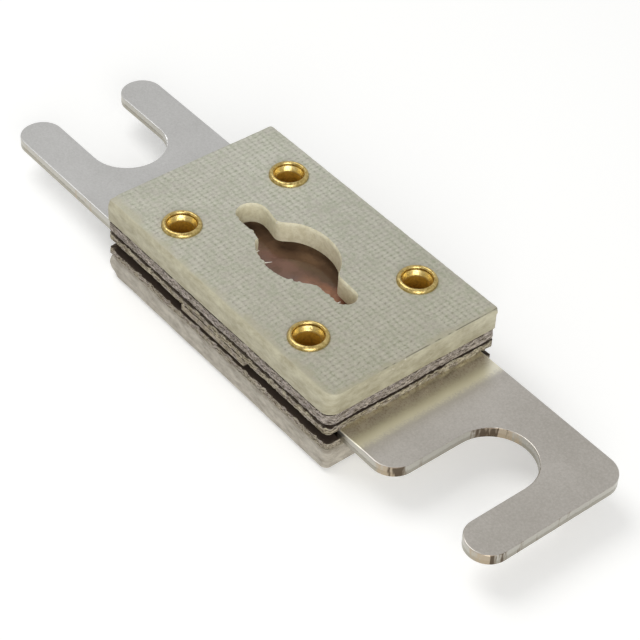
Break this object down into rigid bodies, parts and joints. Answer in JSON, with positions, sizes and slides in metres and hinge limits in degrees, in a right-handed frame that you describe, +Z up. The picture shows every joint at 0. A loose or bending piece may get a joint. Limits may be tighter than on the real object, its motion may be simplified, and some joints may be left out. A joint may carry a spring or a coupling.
{
  "type": "bolt down strip fuse",
  "caption": "Bolt-down strip fuse: a slotted tinned copper strip held in a riveted stack of laminate boards and fibre sheets, with a window over its neck.",
  "frame": {"origin": "centre of the strip's length and width, at the level of the lower eyelet rims that the fuse stands on", "axes": "+X along the strip towards the terminal with the side slot, +Z up towards the board with the window; the side slot opens towards -Y"},
  "size_m": [0.081, 0.0224, 0.0108],
  "materials": {
    "tinned_copper": "satin tin plate on copper",
    "glass_laminate": "woven glass laminate with sawn edges",
    "fibre_sheet": "rough punched fibre sheet",
    "amber_mica": "brown mica, half clear and slightly glossy",
    "rolled_brass": "bright rolled brass"
  },
  "bodies": {
    "root": {"fuse_strip": "tinned_copper", "upper_board": "glass_laminate", "lower_board": "glass_laminate", "upper_outer_sheet": "fibre_sheet", "upper_inner_sheet": "fibre_sheet", "lower_sheet": "fibre_sheet", "front_spacer": "fibre_sheet", "rear_spacer": "fibre_sheet", "window_sheet": "amber_mica", "eyelet_front_left": "rolled_brass", "eyelet_front_right": "rolled_brass", "eyelet_rear_left": "rolled_brass", "eyelet_rear_right": "rolled_brass"}
  },
  "joints": []
}
